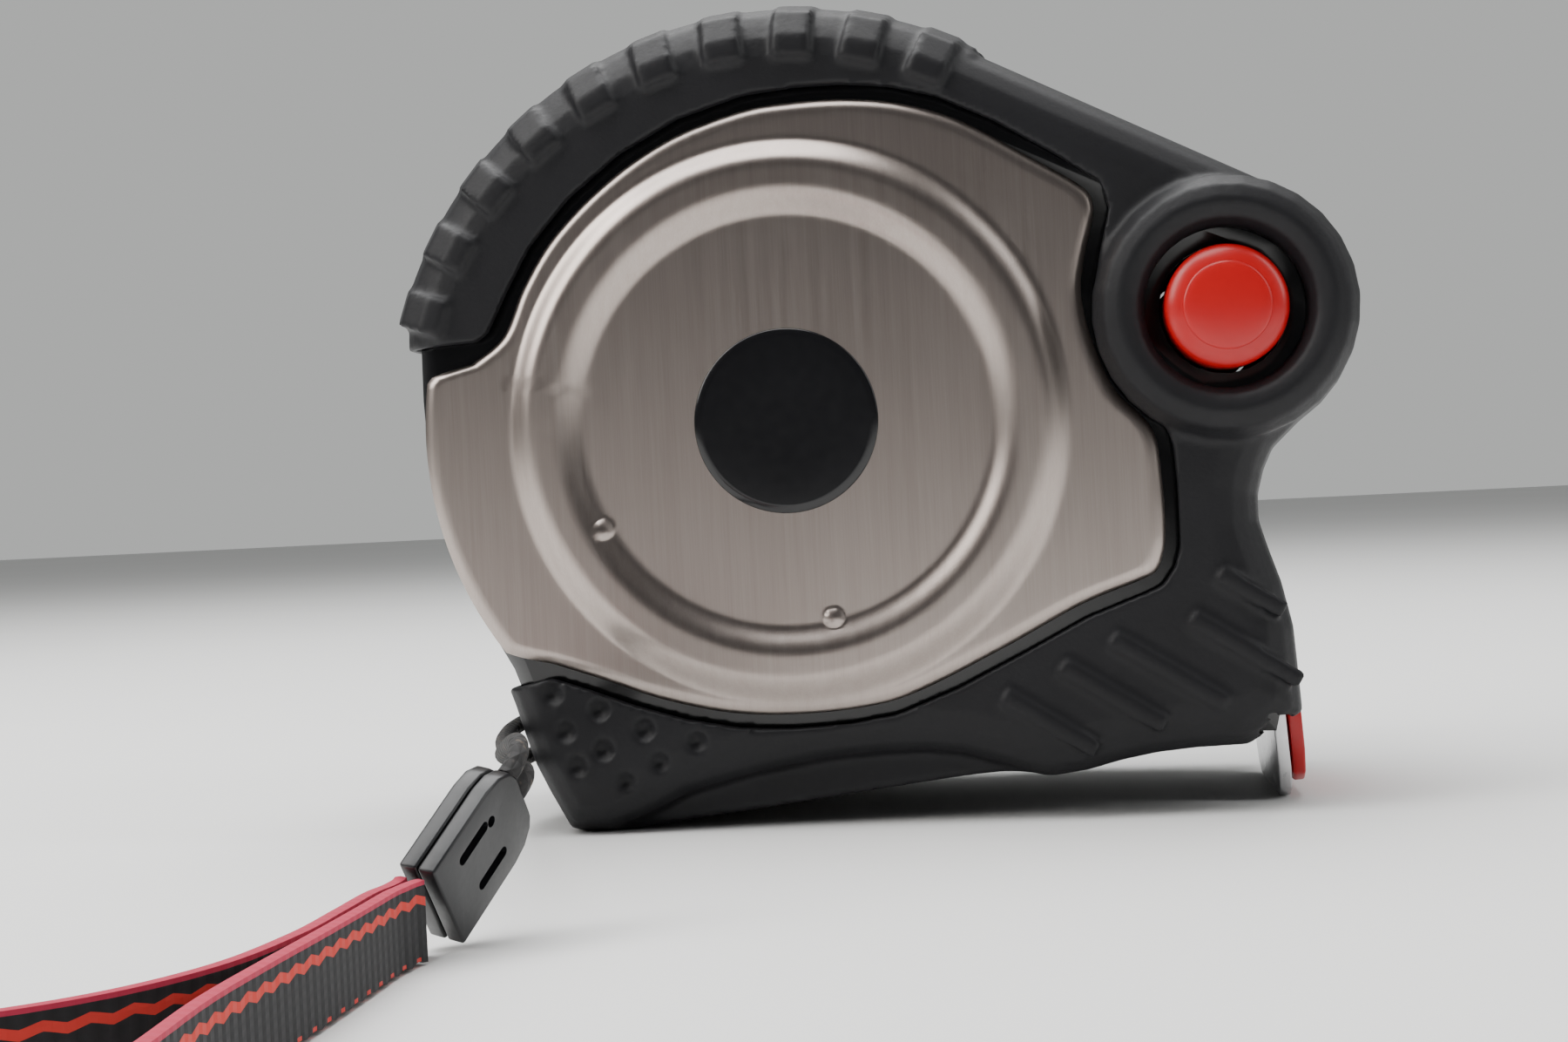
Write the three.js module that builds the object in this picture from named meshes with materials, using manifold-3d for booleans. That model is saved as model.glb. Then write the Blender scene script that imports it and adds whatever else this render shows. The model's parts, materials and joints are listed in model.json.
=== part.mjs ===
// Pocket tape measure with stamped steel side plates, a rubber grip, a push-through blade lock,
// a true-zero end hook, a belt clip and a wrist lanyard.
// Units are millimetres. +X points out of the mouth, +Y to the object's right, +Z up.
// The case is drawn in its own frame: the reel axis is the origin and Y = 0 is the seam plane.
// It is then tilted nose-up, because the tape rests on its rear foot and on the tip of the hook.

import * as THREE from 'three';
import { mergeVertices } from 'three/addons/utils/BufferGeometryUtils.js';
import Module from 'manifold-3d';

const wasm = await Module();
wasm.setup();

// ---------------------------------------------------------------- driving dimensions
const FIT_GAP = 0.3; // clearance left between neighbouring pieces
const MERGE = 1e-3; // vertices closer than this are one vertex

const CASE_RADIUS = 37.6; // rubber shoulder round the reel
const REAR_X = -35.6; // back of the case
const BOSS = { x: 40.1, z: 5.7, radius: 12.2 }; // nose of the case that holds the lock button
const GRIP_HALF = 20.6; // half width over the rubber
const GRIP_BEVEL = 4.4; // round-over from the side face to the rim
const SKIN = 1.4; // rubber thickness over the case
const CASE_HALF = 19; // half width of the hard case
const CASE_BEVEL = 1.6;
const WALL = 1.8;
const BAND_HALF = 5; // half width of the bare centre band
const KEEL_HALF = 15.5;
const WINDOW_MARGIN = 1.6; // case rim that shows round the steel plate

const PLATE_INNER = 19.3; // height of the plate's back over the seam plane
const PLATE_THICKNESS = 0.6;
const PLATE_RIDGE = 1.3; // height of the stamped ring
const PLATE_CENTRE = 0.3; // height of the flat centre
const LABEL_RADIUS = 8.4;
const LABEL_THICKNESS = 0.3;

const RING = { inner: 7.2, outer: 11.3, top: 23.4 }; // raised rubber ring round the button
const CAP_RADIUS = 5.45;
const CAP_TRAVEL = 3; // lock stroke

const REEL = { hub: 12.2, coilInner: 14, coilOuter: 23, flange: 24, halfWidth: 12.5 };
const BLADE = { halfWidth: 12.5, bow: 2.7, thickness: 0.3, z: -27.6, tail: -8, tip: 40.9 };

const HOOK = { x: 41.2, thickness: 1.2, bottom: -39.6, halfWidth: 11.5, slip: 1.2 };
const RIVET_Y = 3.4;

const FOOT = { x: -20.9, z: -36, halfLength: 2.6 }; // centre of the flat that the foot rests on
const TILT = Math.atan2(FOOT.z - HOOK.bottom, HOOK.x - FOOT.x);

const SCREWS = [
  { name: 'case_screw_front_top', x: 27, z: 23 },
  { name: 'case_screw_front_bottom', x: 36, z: -18 },
  { name: 'case_screw_rear_top', x: -27.9, z: 16.1 },
  { name: 'case_screw_rear_bottom', x: -20.5, z: -29 },
];

const LANYARD = { pinX: -25, pinZ: -26.7, pinRadius: 0.9, cordRadius: 0.75 };

// The lanyard lies on the floor. Its places are measured from the reel axis, the seam and the floor.
const CLASP = {
  length: 10.6,
  width: 7.8,
  thickness: 2.9,
  mouth: [-19.9, -75.6, 3.5],
  along: [0.369, 0.678, 0.634],
  across: [0.066, 0.66, -0.747],
};
const WEBBING = { width: 5.5, thickness: 0.9 };
// The wrist loop: out along the right leg, round the end and back along the left leg.
const STRAP_ROUTE = [
  [-20, -78.2, 2.9], [-20.3, -79.4, 2.9], [-20.5, -81, 2.9], [-20.7, -83, 2.9], [-20.8, -89, 2.9], [-21, -97, 2.9],
  [-21.3, -106, 2.9], [-21.4, -115, 2.9], [-20.8, -125, 2.9], [-20.4, -136, 2.9], [-22.5, -147, 2.9],
  [-29.5, -155.5, 2.9], [-40, -159, 2.9], [-51, -157, 2.9], [-60, -150.5, 2.9], [-64, -141, 2.9],
  [-62, -131, 2.9], [-54.5, -124.5, 2.9], [-45, -122, 2.9], [-36, -119, 2.9], [-28.5, -113.5, 2.9],
  [-24.1, -106, 2.9], [-22.4, -97, 2.9], [-22.1, -89, 2.9], [-22, -83, 2.9], [-21.7, -79, 2.8], [-21.3, -77.2, 3],
  [-21.1, -76.5, 3.3],
];

// ---------------------------------------------------------------- outlines in the XZ plane
const point = (x, z) => new THREE.Vector2(x, z);

function arc(cx, cz, radius, fromDeg, toDeg, steps) {
  const points = [];
  for (let i = 0; i <= steps; i += 1) {
    const a = THREE.MathUtils.degToRad(fromDeg + ((toDeg - fromDeg) * i) / steps);
    points.push(point(cx + radius * Math.cos(a), cz + radius * Math.sin(a)));
  }
  return points;
}

function smooth(pairs, steps) {
  return new THREE.SplineCurve(pairs.map(([x, z]) => point(x, z))).getPoints(steps);
}

// Moves every side of a closed anticlockwise outline inwards by a distance, and drops the points
// that a tight corner would fold over.
function inset(points, distance) {
  const count = points.length;
  const moved = points.map((p, i) => {
    const before = p.clone().sub(points[(i + count - 1) % count]).normalize();
    const after = points[(i + 1) % count].clone().sub(p).normalize();
    const mitre = point(-before.y - after.y, before.x + after.x).normalize();
    const stretch = 1 / Math.max(0.5, mitre.dot(point(-after.y, after.x)));
    return p.clone().addScaledVector(mitre, distance * stretch);
  });
  const kept = moved.filter((p) => clearance(p, points) > 0.98 * Math.abs(distance));
  return kept.filter((p, i) => p.distanceTo(kept[(i + 1) % kept.length]) > 0.1);
}

// The distance from a point to the nearest side of a closed outline.
function clearance(p, points) {
  const nearest = new THREE.Vector3();
  const sides = points.map((start, i) => {
    const end = points[(i + 1) % points.length];
    const side = new THREE.Line3(new THREE.Vector3(start.x, start.y), new THREE.Vector3(end.x, end.y));
    side.closestPointToPoint(new THREE.Vector3(p.x, p.y), true, nearest);
    return Math.hypot(nearest.x - p.x, nearest.y - p.y);
  });
  return Math.min(...sides);
}

// The common tangent of the reel circle and the boss circle leaves both at this angle.
const BOSS_DISTANCE = Math.hypot(BOSS.x, BOSS.z);
const TANGENT = THREE.MathUtils.radToDeg(
  Math.atan2(BOSS.z, BOSS.x) + Math.acos((CASE_RADIUS - BOSS.radius) / BOSS_DISTANCE),
);

function footPoint(dx) {
  return [FOOT.x + dx, FOOT.z - dx * Math.tan(TILT)];
}

function bodyOutline(underside) {
  return [
    ...arc(0, 0, CASE_RADIUS, TANGENT, 158, 15),
    ...smooth([[REAR_X + 0.4, 10.4], [REAR_X, 3.5], [REAR_X + 0.2, -4], [REAR_X + 1.5, -10.4], [REAR_X + 4, -16.2],
      [-29.5, -20.6], [-28.4, -24.6], [-27.5, -28.6], [-26, -32.4], [-24.9, -34.5], footPoint(-FOOT.halfLength)], 14),
    ...smooth([footPoint(FOOT.halfLength), ...underside], 11),
    ...smooth([[24.4, -34.5], [29, -33.7], [35, -33.5], [39.5, -33.8]], 5),
    ...smooth([[41.8, -34], [43.2, -32.6], [43.5, -29], [43.4, -22], [42.2, -16.9], [41.4, -13.2],
      [41.9, -10], [43.3, -7.2]], 10),
    ...arc(BOSS.x, BOSS.z, BOSS.radius, -62, TANGENT, 10),
  ];
}

const ARCH = [[-17.4, -35.4], [-12, -33.2], [-1.6, -31.6], [6.6, -31.4], [12, -32], [16.5, -33.6], [20, -34.8]];
const KEEL = [[-17.4, -36], [-8, -35.4], [4, -34.6], [14, -34], [18, -34.2], [20.5, -34.8]];
const BODY = bodyOutline(ARCH);

function plateOutline(margin) {
  const edge = [
    ...arc(0, 0, 33.4 + margin * 3, 167.5, 213, 8),
    ...smooth([[-24, -19.5], [-19, -21.6], [-14, -23.8], [-8, -25.6], [-2.4, -26.3], [4, -26.3], [9.1, -25.4],
      [17.3, -22.2], [24.6, -19]], 10),
    ...smooth([[30.2, -17.3], [31.6, -16.6], [32.4, -14.6]], 3),
    ...smooth([[32.7, -9.6], [32.6, -5.6], [31.8, -3.6], [29.4, -0.6], [27.8, 4.2], [27.3, 8.9], [28.3, 13]], 7),
    ...smooth([[29.2, 15.8], [28.6, 17.6], [24, 21], [18.2, 25], [13.5, 27], [9.1, 28], [4, 28.4], [-1.2, 28.2],
      [-7.9, 26.5], [-13.9, 23.4], [-19.2, 19.2], [-22.6, 14.9], [-25.1, 10.4], [-28.6, 8]], 15),
  ];
  return margin === 0 ? edge : inset(edge, -margin);
}

// ---------------------------------------------------------------- solids
// Extrudes an XZ outline across Y, centred on the seam plane, with bevelled rims.
function slab(points, halfWidth, bevel = 0, steps = 2) {
  const lid = bevel > 0 ? inset(points, bevel) : points;
  const geometry = new THREE.ExtrudeGeometry(new THREE.Shape(lid), {
    depth: 2 * (halfWidth - bevel),
    bevelEnabled: bevel > 0,
    bevelThickness: bevel,
    bevelSize: bevel,
    bevelSegments: steps,
  });
  return geometry.translate(0, 0, bevel - halfWidth).rotateX(Math.PI / 2);
}

function block(x0, x1, y0, y1, z0, z1) {
  const geometry = new THREE.BoxGeometry(x1 - x0, y1 - y0, z1 - z0);
  return geometry.translate((x0 + x1) / 2, (y0 + y1) / 2, (z0 + z1) / 2);
}

// A round bar along Y.
function barY(radius, x, z, y0, y1, sides = 20) {
  return new THREE.CylinderGeometry(radius, radius, y1 - y0, sides).translate(x, (y0 + y1) / 2, z);
}

// A solid turned about an axis along Y; the profile lists radius and Y.
function turned(profile, x = 0, z = 0, sides = 32) {
  return new THREE.LatheGeometry(profile.map(([r, y]) => point(r, y)), sides).translate(x, 0, z);
}

function toSolid(geometry) {
  const bare = geometry.clone();
  bare.deleteAttribute('normal');
  bare.deleteAttribute('uv');
  const merged = mergeVertices(bare, MERGE);
  const vertProperties = new Float32Array(merged.attributes.position.array);
  const corners = [];
  for (let i = 0; i < merged.index.count; i += 3) {
    const [a, b, c] = merged.index.array.slice(i, i + 3);
    if (a !== b && b !== c && c !== a) {
      corners.push(a, b, c);
    }
  }
  const solid = solidFrom(vertProperties, corners);
  return solid.volume() > 0 ? solid : solidFrom(vertProperties, corners.reverse());
}

function solidFrom(vertProperties, corners) {
  const triVerts = new Uint32Array(corners);
  return new wasm.Manifold(new wasm.Mesh({ numProp: 3, vertProperties, triVerts }));
}

function toGeometry(solid) {
  const { vertProperties, triVerts, numProp } = solid.getMesh();
  const positions = [];
  for (let i = 0; i < vertProperties.length; i += numProp) {
    positions.push(vertProperties[i], vertProperties[i + 1], vertProperties[i + 2]);
  }
  const geometry = new THREE.BufferGeometry();
  geometry.setAttribute('position', new THREE.Float32BufferAttribute(positions, 3));
  geometry.setIndex(Array.from(triVerts));
  return geometry;
}

// Joins the added shapes to a base and then takes the cut shapes away.
function shape(base, added, cut) {
  let solid = toSolid(base);
  for (const geometry of added) {
    solid = solid.add(toSolid(geometry));
  }
  for (const geometry of cut) {
    solid = solid.subtract(toSolid(geometry));
  }
  return toGeometry(solid);
}

// Keeps the part of a shape that lies inside another.
function common(geometry, other) {
  return toGeometry(toSolid(geometry).intersect(toSolid(other)));
}

function mirrored(geometry) {
  const copy = geometry.clone();
  copy.scale(1, -1, 1);
  const index = copy.index.array;
  for (let i = 0; i < index.length; i += 3) {
    [index[i], index[i + 1]] = [index[i + 1], index[i]];
  }
  return copy;
}

// ---------------------------------------------------------------- finishes
const FINISH = {
  rubber: { color: 0x34343a, roughness: 0.8, metalness: 0 },
  gloss: { color: 0x0b0b0d, roughness: 0.25, metalness: 0 },
  steel: { color: 0x9c938b, roughness: 0.35, metalness: 1 },
  label: { color: 0x0a0a0b, roughness: 0.3, metalness: 0 },
  red: { color: 0xc81e1e, roughness: 0.4, metalness: 0 },
  nylon: { color: 0x22242a, roughness: 0.5, metalness: 0 },
  spring: { color: 0x5f6266, roughness: 0.4, metalness: 1 },
  blade: { color: 0xf0c419, roughness: 0.35, metalness: 0 },
  zinc: { color: 0xb9bcc0, roughness: 0.3, metalness: 1 },
  webbing: { color: 0x17171b, roughness: 0.9, metalness: 0 },
};

function piece(name, geometry, finish) {
  const closed = toGeometry(toSolid(geometry));
  const mesh = new THREE.Mesh(closed, new THREE.MeshStandardMaterial(FINISH[finish]));
  mesh.name = name;
  return mesh;
}

// ---------------------------------------------------------------- case and grip
function caseBlank(grow) {
  return slab(inset(BODY, SKIN - grow), CASE_HALF + grow, CASE_BEVEL, 1);
}

function keelBlank(grow) {
  const outline = inset(bodyOutline(KEEL), SKIN - grow);
  return common(slab(outline, KEEL_HALF + grow), block(-24, 24, -30, 30, -45, -26));
}

// The path of the blade, the hook and the rubber stop through the front of the nose.
function mouthCuts() {
  return [
    block(36, 60, -13.2, 13.2, -29.9, -23.6),
    block(HOOK.x - 0.4, 60, -13.6, 13.6, -60, -23),
    block(38.3, 60, -12.3, 12.3, -60, -28),
  ];
}

function screwBoss(side, { x, z }) {
  const inner = FIT_GAP / 2;
  const [y0, y1] = side < 0 ? [-CASE_HALF + 1, -inner] : [inner, CASE_HALF - 1];
  return barY(3.2, x, z, y0, y1, 10);
}

function caseHalf(side) {
  const inner = FIT_GAP / 2;
  const [y0, y1] = side < 0 ? [-40, -inner] : [inner, 40];
  const band = slab(inset(BODY, 0.3), BAND_HALF);
  const cavity = slab(inset(BODY, SKIN + WALL), CASE_HALF - WALL);
  const hollow = shape(caseBlank(0), [band, keelBlank(0)], [cavity]);
  const inHalf = common(hollow, block(-90, 90, y0, y1, -60, 60));
  const hubEnd = side < 0 ? [-CASE_HALF + 1, -15.2] : [15.2, CASE_HALF - 1];
  const anchor = common(block(-33, -20.6, -5.5, 5.5, -31, -22.5), slab(inset(BODY, SKIN), 10));
  // Guide ribs for the lock bar, on a foot that reaches the side wall.
  const guides = [
    ...[5.4, 11].map((y) => block(28.9, 32.1, y, y + 1.2, -20, 2)),
    block(28.9, 32.1, 5.4, CASE_HALF - 0.8, -14, -11),
  ];
  const added = [
    turned([[0, hubEnd[0]], [6, hubEnd[0]], [6, hubEnd[1]], [0, hubEnd[1]]], 0, 0, 24),
    common(anchor, block(-90, 90, y0, y1, -60, 60)),
    ...SCREWS.map((screw) => common(screwBoss(side, screw), slab(inset(BODY, SKIN + 0.4), 30))),
    ...guides.map((guide) => (side < 0 ? mirrored(guide) : guide)),
  ];
  const cuts = [
    ...mouthCuts(),
    barY(CAP_RADIUS + 0.35, BOSS.x, BOSS.z, -30, 30, 22),
    barY(4, 0, 0, -15.6 - 1.2, 15.6 + 1.2, 20),
    block(-50, LANYARD.pinX + 3.2, -3.2, 3.2, -30, -23.2),
    barY(LANYARD.pinRadius + FIT_GAP, LANYARD.pinX, LANYARD.pinZ, -4.9, 4.9, 14),
    ...SCREWS.map(({ x, z }) => barY(1.5, x, z, -14, 30, 8)),
  ];
  if (side > 0) {
    cuts.push(barY(1.7, 0, 0, 10, 30, 14));
    cuts.push(...SCREWS.map(({ x, z }) => barY(2.9, x, z, 16.4, 30, 12)));
  }
  return shape(inHalf, added, cuts);
}

// Grip lugs follow the round-over of the upper arc, a little proud of it.
function gripLugs(side) {
  const proud = 0.9;
  const width = 3.4;
  const rim = CASE_RADIUS + proud;
  const section = [[rim - 5.5, 7], [rim, 7], [rim, 15.8], [rim - 1.2, 19.4], [rim - 3.6, 21.1], [rim - 5.5, 21.3]];
  const lugs = [];
  for (let i = 0; i < 10; i += 1) {
    const outline = new THREE.Shape(section.map(([r, y]) => point(r, y)));
    const lug = new THREE.ExtrudeGeometry(outline, { depth: width, bevelEnabled: false });
    lug.translate(0, 0, -width / 2).rotateY(-THREE.MathUtils.degToRad(62 + i * 10.6));
    lugs.push(side < 0 ? mirrored(toGeometry(toSolid(lug))) : lug);
  }
  return lugs;
}

// Slanted thumb ribs on the side of the nose.
function noseRibs(side) {
  const upper = [[17.5, -26.2], [22.9, -24], [27.6, -22], [34.8, -20.9], [37.6, -17.2]];
  const lengths = [9.5, 10.5, 11.5, 11, 6.5];
  return upper.map(([x, z], i) => {
    const rib = block(0, lengths[i], GRIP_HALF - 1, GRIP_HALF + 0.5, -1.5, 0);
    rib.rotateY(THREE.MathUtils.degToRad(36)).translate(x, 0, z);
    return side < 0 ? mirrored(rib) : rib;
  });
}

function buttonRing(side) {
  const ring = turned([
    [RING.inner, 17.5], [RING.outer + 0.5, 17.5], [RING.outer + 0.5, 20.8], [RING.outer - 0.5, 22.7],
    [9.3, RING.top], [7.9, 22.9], [RING.inner, 21.6], [RING.inner, 17.5],
  ], BOSS.x, BOSS.z, 28);
  return side < 0 ? mirrored(ring) : ring;
}

function rubberGrip(side) {
  const tread = slab(arcBand(), 14.5);
  const window = plateOutline(WINDOW_MARGIN);
  const rear = block(-60, -26, -40, 40, -18.6, 10.4);
  const details = [tread, keelSkin(), ...gripLugs(side), ...noseRibs(side)];
  const blank = shape(slab(BODY, GRIP_HALF, GRIP_BEVEL, 4), details, [
    caseBlank(FIT_GAP),
    keelBlank(FIT_GAP),
    slab(inset(BODY, -6), BAND_HALF + FIT_GAP),
    slab(window, 40),
    rear,
    barY(RING.outer, BOSS.x, BOSS.z, -40, 40, 28),
  ]);
  const ring = shape(buttonRing(side), [], [caseBlank(FIT_GAP)]);
  const inner = side < 0 ? [-40, -BAND_HALF - FIT_GAP] : [BAND_HALF + FIT_GAP, 40];
  const half = common(blank, block(-90, 90, inner[0], inner[1], -60, 60));
  const holes = side > 0 ? SCREWS.map(({ x, z }) => barY(3.1, x, z, 10, 40, 12)) : [];
  return shape(half, [ring], [...mouthCuts(), ...holes, block(-60, LANYARD.pinX, -5.6, 5.6, -31, -22.5)]);
}

function arcBand() {
  return [
    ...arc(0, 0, CASE_RADIUS + 0.6, 56, 160, 14),
    ...arc(0, 0, CASE_RADIUS - 3, 160, 56, 8),
  ];
}

function keelSkin() {
  return common(slab(bodyOutline(KEEL), KEEL_HALF + SKIN), block(-24, 24, -30, 30, -45, -31));
}

// ---------------------------------------------------------------- side plates
function facePlate(side) {
  const t = PLATE_THICKNESS;
  const outer = [
    [0, PLATE_CENTRE], [18.8, PLATE_CENTRE], [21.2, PLATE_RIDGE], [23.2, PLATE_RIDGE], [25.6, 0], [36, 0],
  ];
  const profile = [
    ...outer.map(([r, h]) => [r, PLATE_INNER + h]),
    ...outer.slice().reverse().map(([r, h]) => [r, PLATE_INNER + h + t]),
  ];
  const holes = side > 0 ? [barY(1.7, 0, 0, 10, 30, 14)] : [];
  const stamped = turned([...profile, profile[0]], 0, 0, 40);
  const plate = shape(common(stamped, slab(plateOutline(0), 30)), [], holes);
  return side < 0 ? mirrored(plate) : plate;
}

function labelDisc() {
  const top = PLATE_INNER + PLATE_CENTRE + PLATE_THICKNESS + FIT_GAP;
  return barY(LABEL_RADIUS, 0, 0, -top - LABEL_THICKNESS, -top, 40);
}

// ---------------------------------------------------------------- reel
function spool() {
  const { hub, flange, halfWidth } = REEL;
  return turned([
    [hub, -halfWidth - 0.1], [hub + 1.4, -halfWidth - 0.1], [hub + 1.4, halfWidth + 0.4], [flange, halfWidth + 0.4],
    [flange, halfWidth + 1.4], [4.2, halfWidth + 1.4], [4.2, halfWidth + 0.4], [hub, halfWidth + 0.4],
    [hub, -halfWidth - 0.1],
  ], 0, 0, 36);
}

function spoolLid() {
  const { flange, halfWidth } = REEL;
  return turned([
    [4.2, -halfWidth - 1.4], [flange, -halfWidth - 1.4], [flange, -halfWidth - 0.4], [4.2, -halfWidth - 0.4],
    [4.2, -halfWidth - 1.4],
  ], 0, 0, 36);
}

function bladeCoil() {
  const { coilInner, coilOuter, halfWidth } = REEL;
  return turned([
    [coilInner, -halfWidth], [coilOuter, -halfWidth], [coilOuter, halfWidth], [coilInner, halfWidth],
    [coilInner, -halfWidth],
  ], 0, 0, 40);
}

// A flat power spring wound as an open spiral.
function mainSpring() {
  const turns = 5;
  const perTurn = 12;
  const inner = 4.6;
  const outer = 11.4;
  const half = 0.2;
  const side = (offset) => {
    const points = [];
    for (let i = 0; i <= turns * perTurn; i += 1) {
      const a = (2 * Math.PI * i) / perTurn;
      const r = inner + ((outer - inner) * i) / (turns * perTurn) + offset;
      points.push(point(r * Math.cos(a), r * Math.sin(a)));
    }
    return points;
  };
  return slab([...side(half), ...side(-half).reverse()], 10);
}

function springArbor() {
  const post = barY(3.6, 0, 0, -16.4, 16.4, 20);
  return shape(post, [], [block(-0.4, 0.4, -11, 11, 0, 5), barY(1.6, 0, 0, 6, 20, 12)]);
}

function arborScrew() {
  return shape(barY(1.3, 0, 0, 8, 21.9, 12), [screwHead(0, 0, 21.8, 23.4, 3.2)], []);
}

function screwHead(x, z, y0, y1, radius) {
  const head = barY(radius, x, z, y0, y1, 14);
  const slotWidth = 0.4;
  return shape(head, [], [
    block(x - slotWidth, x + slotWidth, y1 - 0.7, y1 + 1, z - radius * 0.6, z + radius * 0.6),
    block(x - radius * 0.6, x + radius * 0.6, y1 - 0.7, y1 + 1, z - slotWidth, z + slotWidth),
  ]);
}

function caseScrew({ x, z }) {
  return shape(barY(1.2, x, z, -12, 17.2, 8), [screwHead(x, z, 16.7, 18.6, 2.5)], []);
}

// ---------------------------------------------------------------- blade and hook
function bladeHeight(y) {
  return BLADE.z + BLADE.bow * (y / BLADE.halfWidth) ** 2;
}

function bladeStrip() {
  const steps = 12;
  const under = [];
  const over = [];
  for (let i = 0; i <= steps; i += 1) {
    const y = -BLADE.halfWidth + (2 * BLADE.halfWidth * i) / steps;
    under.push(point(y, bladeHeight(y) - BLADE.thickness / 2));
    over.push(point(y, bladeHeight(y) + BLADE.thickness / 2));
  }
  const strip = new THREE.ExtrudeGeometry(new THREE.Shape([...under, ...over.reverse()]), {
    depth: BLADE.tip - BLADE.tail,
    bevelEnabled: false,
  });
  strip.rotateX(Math.PI / 2).rotateZ(Math.PI / 2).translate(BLADE.tail, 0, 0);
  return shape(strip, [], rivetHoles(1.5, 0));
}

const RIVET_X = 36.6;

// Holes or slots for the two rivets, long enough for the hook to slip.
function rivetHoles(radius, slip) {
  return [-RIVET_Y, RIVET_Y].flatMap((y) => {
    const hole = new THREE.CylinderGeometry(radius, radius, 12, 14).rotateX(Math.PI / 2);
    const ends = [0, -slip].map((dx) => hole.clone().translate(RIVET_X + dx, y, BLADE.z));
    return slip === 0 ? [ends[0]] : [
      ...ends,
      block(RIVET_X - slip, RIVET_X, y - radius, y + radius, BLADE.z - 6, BLADE.z + 6),
    ];
  });
}

function rivet(y) {
  const profile = [[0, -1.3], [1.7, -1.3], [1.9, -0.6], [1.2, -0.6], [1.2, 2.6], [1.9, 2.6], [1.5, 3.3], [0, 3.4]];
  const body = new THREE.LatheGeometry(profile.map(([r, h]) => point(r, h)), 16);
  return body.rotateX(Math.PI / 2).translate(RIVET_X, y, BLADE.z);
}

function endHook() {
  const { x, thickness, bottom, halfWidth } = HOOK;
  const legBottom = BLADE.z + 1.15;
  const legTop = legBottom + 1.1;
  const profile = [
    [-halfWidth, legTop], [-halfWidth, bottom + 3], [-halfWidth + 0.9, bottom + 0.9], [-halfWidth + 3, bottom],
    [halfWidth - 3, bottom], [halfWidth - 0.9, bottom + 0.9], [halfWidth, bottom + 3], [halfWidth, legTop],
  ].map(([y, z]) => point(y, z));
  const plate = new THREE.ExtrudeGeometry(new THREE.Shape(profile), { depth: thickness, bevelEnabled: false });
  plate.rotateX(Math.PI / 2).rotateZ(Math.PI / 2).translate(x, 0, 0);
  const leg = block(33.4, x + 0.5, -6, 6, legBottom, legTop);
  return shape(plate, [leg], rivetHoles(1.5, HOOK.slip));
}

function hookPad() {
  const { x, thickness, bottom, halfWidth } = HOOK;
  const w = halfWidth - 0.9;
  const profile = [[-w, -30.5], [-w, bottom + 4], [-w + 1.2, bottom + 2], [-w + 3, bottom + 1.2],
    [w - 3, bottom + 1.2], [w - 1.2, bottom + 2], [w, bottom + 4], [w, -30.5]].map(([y, z]) => point(y, z));
  const pad = new THREE.ExtrudeGeometry(new THREE.Shape(profile), { depth: 1.2, bevelEnabled: false });
  return pad.rotateX(Math.PI / 2).rotateZ(Math.PI / 2).translate(x + thickness + FIT_GAP, 0, 0);
}

// A U-shaped guide whose side rails carry the edges of the blade.
function mouthGuide() {
  const base = block(30.5, 38, -12.8, 12.8, -30.1, -29.3);
  const rails = [-1, 1].map((side) => {
    const points = [[6.8, -29.6], [12.8, -29.6], [12.8, -26], [10, -26.9], [6.8, -27.5]]
      .map(([y, z]) => point(side * y, z));
    const rail = new THREE.ExtrudeGeometry(new THREE.Shape(points), { depth: 7.5, bevelEnabled: false });
    return rail.rotateX(Math.PI / 2).rotateZ(Math.PI / 2).translate(30.5, 0, 0);
  });
  return shape(base, rails, []);
}

function mouthBumper() {
  return block(38.6, 40.5, -12, 12, -32.4, -28.9);
}

// ---------------------------------------------------------------- lock
function lockCap(side) {
  const face = side < 0 ? 24 : 24 - CAP_TRAVEL;
  const cap = turned([
    [0, face - 6.5], [CAP_RADIUS, face - 6.5], [CAP_RADIUS, face - 1.3], [CAP_RADIUS - 0.5, face - 0.7],
    [3.6, face - 0.25], [0, face],
  ], BOSS.x, BOSS.z, 24);
  return side < 0 ? mirrored(cap) : cap;
}

// The shaft carries a cone that pushes the lock bar down as it slides across.
function lockShaft() {
  return turned([
    [0, -17.2], [2.4, -17.2], [2.4, -5], [4.4, -4.5], [2.4, -0.5], [2.4, 14.2], [0, 14.2],
  ], BOSS.x, BOSS.z, 20);
}

function lockBar() {
  const top = BOSS.z - 2.7;
  const column = block(29, 32, -4, 4, -23.8, top);
  return shape(column, [block(31, 42, -0.5, 0.5, top - 1.6, top), block(25.2, 30, -3, 3, -3, -1.5)], []);
}

function brakePad() {
  return block(28.6, 32.4, -6, 6, -25.6, -24.1);
}

function barSpring() {
  const turns = 4;
  const radius = 1.5;
  class Helix extends THREE.Curve {
    getPoint(t, target = new THREE.Vector3()) {
      const a = 2 * Math.PI * turns * t;
      return target.set(27.3 + radius * Math.cos(a), radius * Math.sin(a), -9.6 + 5.5 * t);
    }
  }
  const section = new THREE.Shape(arc(0, 0, 0.3, 0, 288, 4));
  return new THREE.ExtrudeGeometry(section, { steps: turns * 8, extrudePath: new Helix(), bevelEnabled: false });
}

// A seat in the case that the bar spring stands on.
function springSeat() {
  return block(25, 28.6, -16.9, 16.9, -11.6, -10.2);
}

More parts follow.
